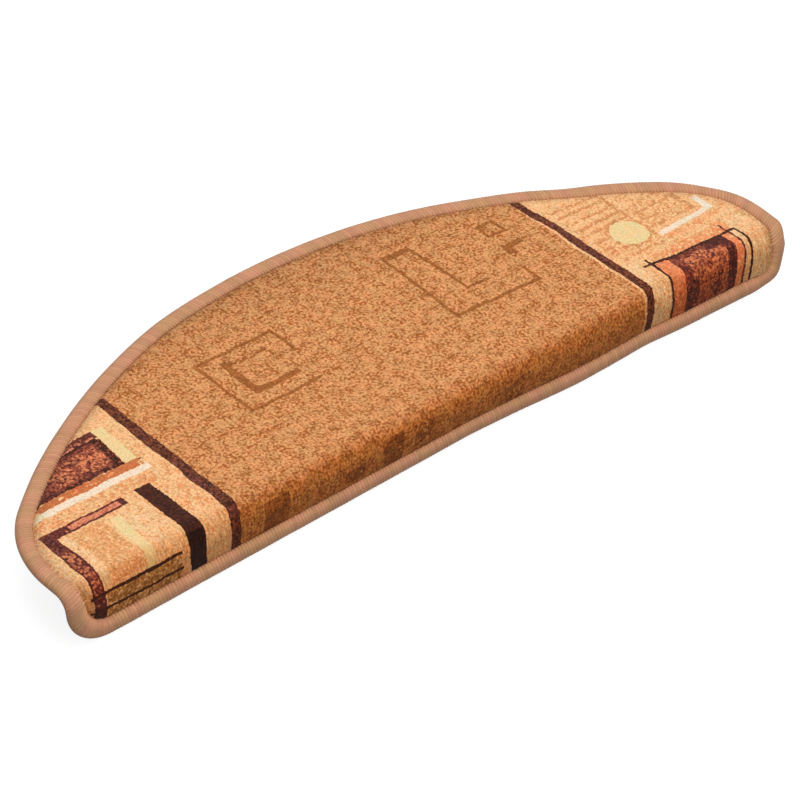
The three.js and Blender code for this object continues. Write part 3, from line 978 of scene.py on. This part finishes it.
def dyed_pile(tree, in_mm, index, palette):
    """The inks with their flecks in mottled tufts and a slow drift of the dye, and the flecks' share."""
    base = ink_ramp(tree, index, [tuple(ink.base) for ink in palette])
    fleck = ink_ramp(tree, index, [tuple(ink.fleck) for ink in palette])
    share = ink_ramp(tree, index, [(ink.share,) * 3 for ink in palette])
    grain = put(tree, "TexNoise", {"Vector": in_mm, "Scale": 1 / GRAIN, "Detail": 3.0}, **FLAT_NOISE)
    clump = put(tree, "TexNoise", {"Vector": in_mm, "Scale": 1 / CLUMP}, **FLAT_NOISE)
    mottle = put(tree, "Math", clump, 0.5, grain, operation="MULTIPLY_ADD")
    level = put(tree, "Math", share, 0.45, 0.525, operation="MULTIPLY_ADD")
    above = put(tree, "Math", level, mottle, operation="SUBTRACT")
    amount = put(tree, "Math", above, GRAIN_CONTRAST, 0.5, operation="MULTIPLY_ADD")
    colour = put(tree, "Mix", {0: amount, 6: base, 7: fleck}, **COLOURS)
    slow = put(tree, "TexNoise", {"Vector": in_mm, "Scale": 1 / DRIFT}, **FLAT_NOISE)
    slow = put(tree, "MapRange", slow, 0.3, 0.7, **EASED)
    drift = put(tree, "Mix", {0: slow, 6: (1.04, 0.98, 0.96), 7: (0.96, 1.01, 0.98)}, **COLOURS)
    return put(tree, "VectorMath", colour, drift, operation="MULTIPLY"), share


def tuft_light(tree, in_mm, tuft, chance, share):
    """Painted shade between tufts, tufts of uneven tone and single yarn ends; plain inks get almost none of
    the painted shade.
    """
    # Painted shade between the tufts
    gap_shade = put(tree, "MapRange", tuft.outputs["Distance"], 0.25, 0.75, 1.05, 0.84, **EASED)
    uneven = put(tree, "Math", chance.outputs["Blue"], 0.2, 0.9, operation="MULTIPLY_ADD")
    tufted = put(tree, "Math", gap_shade, uneven, operation="MULTIPLY")
    depth = put(tree, "Math", share, 2.5, operation="MULTIPLY")
    depth = put(tree, "Math", depth, 1.0, operation="MINIMUM")
    light = put(tree, "Mix", {0: depth, 2: 1.0, 3: tufted})
    speck = put(tree, "TexNoise", {"Vector": in_mm, "Scale": 1 / SPECK, "Detail": 1.0}, **FLAT_NOISE)
    speck = put(tree, "MapRange", speck, 0.25, 0.75, 0.86, 1.14, **EASED)
    return put(tree, "Math", light, speck, operation="MULTIPLY")


def pile_colour(tree, in_mm, tuft, chance, nap_and_painted_shade):
    """The print in mottled tufts, with painted shade down the flap, partly from the pile lying downwards,
    and painted shade beside the stitching and towards the back.
    """
    palette = inks(bpy.context.scene.mat_colours)
    u, v = print_lookup(tree, in_mm, tuft)
    index = print_index(tree, u, v, chance.outputs["Red"], list(palette))
    colour, share = dyed_pile(tree, in_mm, index, palette.values())
    # Painted shade down the flap, partly from the pile lying downwards
    flap = put(tree, "MapRange", v, *FLAP_SHADE_EASE, **EASED)
    flap_shade = put(tree, "Mix", {0: flap, 6: (1.0, 1.0, 1.0), 7: nap_and_painted_shade}, **COLOURS)
    colour = put(tree, "VectorMath", colour, flap_shade, operation="MULTIPLY")
    # Painted shade and highlight in lines between rows of tufts on the flap
    row_shading = put(tree, "VectorMath", in_mm, (1.0, 0.14, 1.0), operation="MULTIPLY")
    row_shading = put(tree, "TexNoise", {"Vector": row_shading, "Scale": 1 / ROW_SHADING}, **FLAT_NOISE)
    row_shading = put(tree, "MapRange", row_shading, 0.3, 0.7, 0.82, 1.16, **EASED)
    row_shading = put(tree, "Mix", {0: flap, 2: 1.0, 3: row_shading})
    light = put(tree, "Math", tuft_light(tree, in_mm, tuft, chance, share), row_shading, operation="MULTIPLY")
    # Painted shade beside the stitching and towards the back of the mat
    edge = put(tree, "Attribute", attribute_name="inset", output="Fac")
    edge = put(tree, "MapRange", edge, *EDGE_SHADE_INSET, 0.78, 1.0, **EASED)
    back = put(tree, "MapRange", v, *BACK_SHADE_RANGE, 1.0, 0.84, **EASED)
    edge_and_back_shade = put(tree, "Math", edge, back, operation="MULTIPLY")
    light = put(tree, "Math", light, edge_and_back_shade, operation="MULTIPLY")
    return put(tree, "VectorMath", {0: colour, "Scale": light}, operation="SCALE")


def flat_millimetres(tree):
    """The place on the flat mat, kept in its UV map."""
    place = put(tree, "UVMap", uv_map="flat")
    return put(tree, "VectorMath", {0: place, "Scale": PER_MM}, operation="SCALE")


def printed_pile():
    """Nylon cut pile, printed: matt, soft at grazing angles, its tufts standing up unevenly."""
    scene = bpy.context.scene
    material, tree = new_material("printed nylon cut pile")
    in_mm = flat_millimetres(tree)
    cells = {"Vector": in_mm, "Scale": MM / scene.mat_pile.tuft, "Randomness": 0.9}
    tuft = put(tree, "TexVoronoi", cells, voronoi_dimensions="2D", output=None)
    chance = put(tree, "SeparateColor", tuft.outputs["Color"], output=None)
    fibre = put(tree, "TexNoise", {"Vector": in_mm, "Scale": 1 / FIBRE}, **FLAT_NOISE)
    fibre = put(tree, "Math", fibre, 0.5, operation="MULTIPLY")
    height = put(tree, "Math", tuft.outputs["Distance"], -0.6, fibre, operation="MULTIPLY_ADD")
    look = {
        "Base Color": pile_colour(tree, in_mm, tuft, chance, scene.mat_colours.nap_and_painted_shade),
        "Roughness": 0.95,
        "Specular IOR Level": 0.1,
        "Sheen Weight": 0.06,
        "Sheen Roughness": 0.5,
        "Sheen Tint": (1.0, 0.86, 0.72),
        "Normal": put(tree, "Bump", {"Height": height, "Distance": 0.5 * MM, "Strength": 0.65}),
    }
    put(tree, "OutputMaterial", put(tree, "BsdfPrincipled", look), output=None)
    return material


# A painted highlight on the yarn along the flap: how far from mid-front this goes, and where across the
# stitching
HIGHLIGHT_RUN, HIGHLIGHT_INSET = (330.0, 365.0), (5.0, 12.5)
# The yarn's fibres and its drifts of dye in millimetres, and how far each is drawn out across the edge
YARN_FIBRE, FIBRE_STRETCH, YARN_DRIFT, DRIFT_STRETCH = 0.4, 0.16, 16, 0.5


def yarn_noise(tree, run, inset, size, stretch):
    """Noise along the yarn, drawn out across the edge."""
    across = put(tree, "Math", inset, stretch, operation="MULTIPLY")
    place = put(tree, "CombineXYZ", run, across)
    return put(tree, "TexNoise", {"Vector": place, "Scale": 1 / size}, **FLAT_NOISE)


def yarn_light(tree, along, run, inset):
    """Painted shade in the grooves between the stitches and on the outside, and a painted highlight on the
    flap.
    """
    ridge = put(tree, "Math", along, 0.5, operation="PINGPONG")
    # Painted shade in the grooves between stitches
    groove = put(tree, "MapRange", ridge, 0.0, 0.3, 0.84, 1.02, **EASED)
    # Painted shade on the outside of the stitching
    outer = put(tree, "MapRange", inset, 0.0, 5.0, 0.84, 1.0, **EASED)
    # A painted highlight on the inner part of the stitching along the flap
    from_front = put(tree, "Math", run, Outline(sizes()).perimeter() * PER_MM / 2, operation="PINGPONG")
    on_flap = put(tree, "MapRange", from_front, *HIGHLIGHT_RUN, 1.0, 0.0, **EASED)
    painted_highlight = put(tree, "MapRange", inset, *HIGHLIGHT_INSET, 0.97, 1.42, **EASED)
    painted_highlight = put(tree, "Mix", {0: on_flap, 2: 1.0, 3: painted_highlight})
    light = put(tree, "Math", groove, painted_highlight, operation="MULTIPLY")
    return put(tree, "Math", light, outer, operation="MULTIPLY")


def overlock_yarn():
    """Bulked polyester overlock yarn: soft sheen, painted shade in its grooves and on its outside, uneven
    dye, and a painted highlight along the nosing.
    """
    colours, binding = bpy.context.scene.mat_colours, bpy.context.scene.mat_binding
    material, tree = new_material("bulked polyester overlock yarn")
    place = put(tree, "SeparateXYZ", put(tree, "UVMap", uv_map="stitch"), output=None)
    along, inset = place.outputs["X"], place.outputs["Y"]
    run = put(tree, "Math", along, binding.pitch * PER_MM, operation="MULTIPLY")
    stitch = put(tree, "Math", along, operation="FLOOR")
    dye = put(tree, "TexWhiteNoise", {"W": stitch}, noise_dimensions="1D", output="Value")
    fibre = yarn_noise(tree, run, inset, YARN_FIBRE, FIBRE_STRETCH)
    pale, dark = Vector(colours.yarn) * 1.14, Vector(colours.yarn) * 0.8
    paleness = put(tree, "Math", dye, 0.5, -0.2, operation="MULTIPLY_ADD")
    paleness = put(tree, "Math", fibre, 0.9, paleness, operation="MULTIPLY_ADD")
    tone = put(tree, "Mix", {0: paleness, 6: dark, 7: pale}, **COLOURS)
    drift = put(tree, "MapRange", yarn_noise(tree, run, inset, YARN_DRIFT, DRIFT_STRETCH), 0.3, 0.7, **EASED)
    warm = put(tree, "Mix", {0: drift, 6: (0.96, 1.02, 0.92), 7: (1.04, 0.98, 1.04)}, **COLOURS)
    colour = put(tree, "VectorMath", tone, warm, operation="MULTIPLY")
    light = {0: colour, "Scale": yarn_light(tree, along, run, inset)}
    look = {
        "Base Color": put(tree, "VectorMath", light, operation="SCALE"),
        "Roughness": 0.75,
        "Specular IOR Level": 0.3,
        "Sheen Weight": 0.2,
        "Sheen Roughness": 0.4,
        "Normal": put(tree, "Bump", {"Height": fibre, "Distance": 0.25 * MM, "Strength": 0.6}),
    }
    put(tree, "OutputMaterial", put(tree, "BsdfPrincipled", look), output=None)
    return material


# The latex's pebbles and its paler clouds, in millimetres
PEBBLE, CLOUD = 1.6, 18


def latex_backing():
    """Cast latex compound: matt grey-beige rubber with a fine pebbled grip and a few paler clouds."""
    colours = bpy.context.scene.mat_colours
    material, tree = new_material("cast latex grip backing")
    in_mm = flat_millimetres(tree)
    pebble = put(tree, "TexVoronoi", {"Vector": in_mm, "Scale": 1 / PEBBLE}, voronoi_dimensions="2D")
    cloud = put(tree, "TexNoise", {"Vector": in_mm, "Scale": 1 / CLOUD, "Detail": 4.0}, **FLAT_NOISE)
    dark, pale = Vector(colours.latex) * 0.75, Vector(colours.latex) * 1.2
    pebbled = {"Height": pebble, "Distance": 0.3 * MM, "Strength": 0.8}
    look = {
        "Base Color": put(tree, "Mix", {0: cloud, 6: dark, 7: pale}, **COLOURS),
        "Roughness": 0.65,
        "IOR": 1.52,
        "Normal": put(tree, "Bump", pebbled, invert=True),
    }
    put(tree, "OutputMaterial", put(tree, "BsdfPrincipled", look), output=None)
    return material


def flat_area(mat):
    """Area of the half-moon before it is folded, in square metres."""
    outline = Outline(mat)
    point, _ = outline.along(np.linspace(0, outline.perimeter(), 2000, endpoint=False))
    u, v = point.T
    return 0.5 * float(np.abs(np.dot(u, np.roll(v, -1)) - np.dot(v, np.roll(u, -1))))


class SCENE_OT_mat_cloth(bpy.types.Operator):
    """Works out the mat's flat area and reads the backing's inset, and keeps neither"""

    bl_idname = "scene.mat_cloth"
    bl_label = "Sheet sizes"

    def execute(self, context):
        mat, backing = context.scene.mat_sizes, context.scene.mat_backing
        area, rim = flat_area(mat), backing.inset
        return {"FINISHED"}


def seen_directly(tree):
    """1 for rays from the camera, also by way of a mirror or glass."""
    path = put(tree, "LightPath", output=None).outputs
    seen = put(tree, "Math", path["Is Camera Ray"], path["Is Glossy Ray"], operation="MAXIMUM")
    return put(tree, "Math", seen, path["Is Transmission Ray"], operation="MAXIMUM")


def white_stage(tree, lit, lift):
    """A surface's own shader with enough light of its own, where it is seen directly, to come out white."""
    strength = put(tree, "Math", seen_directly(tree), lift, operation="MULTIPLY")
    glow = put(tree, "Emission", {"Color": (1, 1, 1), "Strength": strength})
    return put(tree, "AddShader", lit, glow)


# The floor's own colour, before it is lifted to white: a darker floor throws less light up at the mat
FLOOR_GREY = "#898989"
# Lamps in metres, the point that the camera looks at and the width of its sensor in millimetres
LAMP_PLACES = {"key": (0.1, 0.3, 2.05), "front": (-0.4, -1.7, 1.35)}
CAMERA_TARGET = (-25.1, 23.9, 0.0)
SENSOR_WIDTH = 36.0


class SCENE_OT_mat_stage(bpy.types.Operator):
    """Adds the white floor, the soft lamps and the camera"""

    bl_idname = "scene.mat_stage"
    bl_label = "Stage"

    def execute(self, context):
        stage = context.scene.mat_stage
        self.add_floor(stage)
        self.add_world(context.scene, stage)
        self.add_lamps(stage)
        self.add_camera(context.scene, stage)
        context.scene.view_settings.view_transform = "Standard"
        return {"FINISHED"}

    def add_floor(self, stage):
        floor = start_piece(
            "floor", bpy.ops.mesh.primitive_plane_add, size=stage.floor_size, location=(0, 0, CAD_LOW.z)
        )
        material, tree = new_material("white paper floor")
        paper = put(tree, "BsdfDiffuse", {"Color": linear(FLOOR_GREY)})
        put(tree, "OutputMaterial", white_stage(tree, paper, stage.floor_lift), output=None)
        floor.data.materials.append(material)

    def add_world(self, scene, stage):
        world = bpy.data.worlds.new("soft white room")
        scene.world = world
        world.use_nodes = True
        tree = world.node_tree
        tree.nodes.clear()
        room = put(tree, "Background", {"Color": (1, 1, 1), "Strength": stage.fill_level})
        white = put(tree, "Background", {"Color": (1, 1, 1), "Strength": 1.0})
        both = put(tree, "MixShader", seen_directly(tree), room, white)
        put(tree, "OutputWorld", both, output=None)

    def add_lamps(self, stage):
        powers = {"key": stage.key_power, "front": stage.front_power}
        for name, place in LAMP_PLACES.items():
            bpy.ops.object.light_add(type="AREA", location=place)
            lamp = bpy.context.object
            lamp.name = name
            lamp.data.size = stage.lamp_size
            lamp.data.energy = powers[name]
            lamp.rotation_euler = Vector(place).to_track_quat("Z", "Y").to_euler()

    def add_camera(self, scene, stage):
        target = Vector(CAMERA_TARGET) * MM
        flat = math.cos(stage.elevation)
        back = Vector(
            (math.sin(stage.azimuth) * flat, -math.cos(stage.azimuth) * flat, math.sin(stage.elevation))
        )
        bpy.ops.object.camera_add()
        camera = bpy.context.object
        aim = (-back).to_track_quat("-Z", "Y").to_matrix() @ Matrix.Rotation(stage.roll, 3, "Z")
        camera.matrix_world = Matrix.Translation(target + back * stage.distance) @ aim.to_4x4()
        camera.data.lens = stage.lens
        camera.data.sensor_width = SENSOR_WIDTH
        scene.camera = camera


class VIEW3D_PT_mat(bpy.types.Panel):
    """Lists the mat's sizes and the steps that build it"""

    bl_label = "Stair mat"
    bl_idname = "VIEW3D_PT_mat"
    bl_space_type = "VIEW_3D"
    bl_region_type = "UI"
    bl_category = "Stair mat"

    def draw(self, context):
        layout = self.layout
        for operator in OPERATORS:
            layout.operator(operator.bl_idname)
        for group in GROUPS:
            box = layout.box()
            settings = getattr(context.scene, group)
            for name in settings.bl_rna.properties.keys():
                if name not in ("rna_type", "name"):
                    box.prop(settings, name)


OPERATORS = [
    MESH_OT_mat_backing,
    MESH_OT_mat_carpet,
    MESH_OT_mat_binding,
    SCENE_OT_mat_cloth,
    SCENE_OT_mat_stage,
]

GROUPS = {
    "mat_sizes": MatSizes,
    "mat_pile": PileSizes,
    "mat_binding": BindingSizes,
    "mat_backing": BackingSizes,
    "mat_colours": MatColours,
    "mat_stage": StageSettings,
}


def register():
    for group, settings in GROUPS.items():
        bpy.utils.register_class(settings)
        setattr(bpy.types.Scene, group, PointerProperty(type=settings))
    for operator in OPERATORS:
        bpy.utils.register_class(operator)
    bpy.utils.register_class(VIEW3D_PT_mat)


def unregister():
    bpy.utils.unregister_class(VIEW3D_PT_mat)
    for operator in reversed(OPERATORS):
        bpy.utils.unregister_class(operator)
    for group, settings in GROUPS.items():
        delattr(bpy.types.Scene, group)
        bpy.utils.unregister_class(settings)


def main():
    register()
    bpy.ops.mesh.mat_backing()
    bpy.ops.mesh.mat_carpet()
    bpy.ops.mesh.mat_binding()
    bpy.ops.scene.mat_cloth()
    bpy.ops.scene.mat_stage()


if __name__ == "__main__":
    main()
